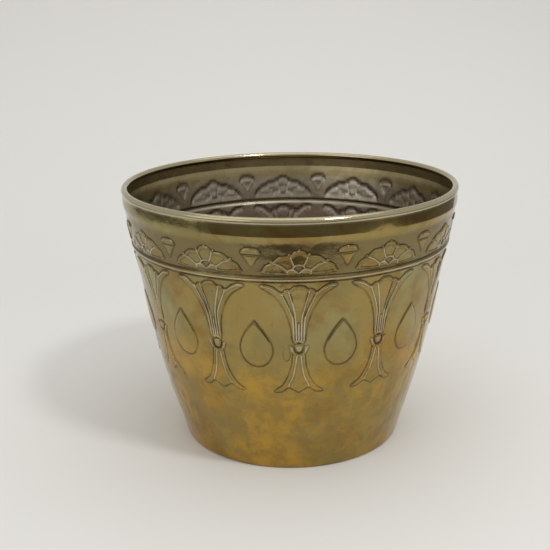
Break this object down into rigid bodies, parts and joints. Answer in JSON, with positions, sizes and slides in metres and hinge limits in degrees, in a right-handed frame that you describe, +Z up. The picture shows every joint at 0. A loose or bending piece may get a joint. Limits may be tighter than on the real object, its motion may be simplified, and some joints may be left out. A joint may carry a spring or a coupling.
{
  "type": "planter pot",
  "caption": "Round tapered brass planter pot with an embossed frieze of palmettes and columns, a plain collar and a rolled rim, open at the top.",
  "frame": {"origin": "centre of the foot, on the plane that the pot stands on", "axes": "+Z up along the pot's axis, out of its mouth; -Y through the middle of one embossed column"},
  "size_m": [0.301, 0.301, 0.2356],
  "materials": {
    "polished_brass": "old polish, warm golden olive, mottled orange brown low down",
    "steel_wire": "plain drawn wire, dull",
    "dull_brass": "unpolished, brown tarnish",
    "soft_solder": "dull grey soft solder"
  },
  "bodies": {
    "root": {"pressed_wall": "polished_brass", "rim_wire": "steel_wire", "base_disc": "dull_brass", "solder_seam": "soft_solder"}
  },
  "joints": []
}
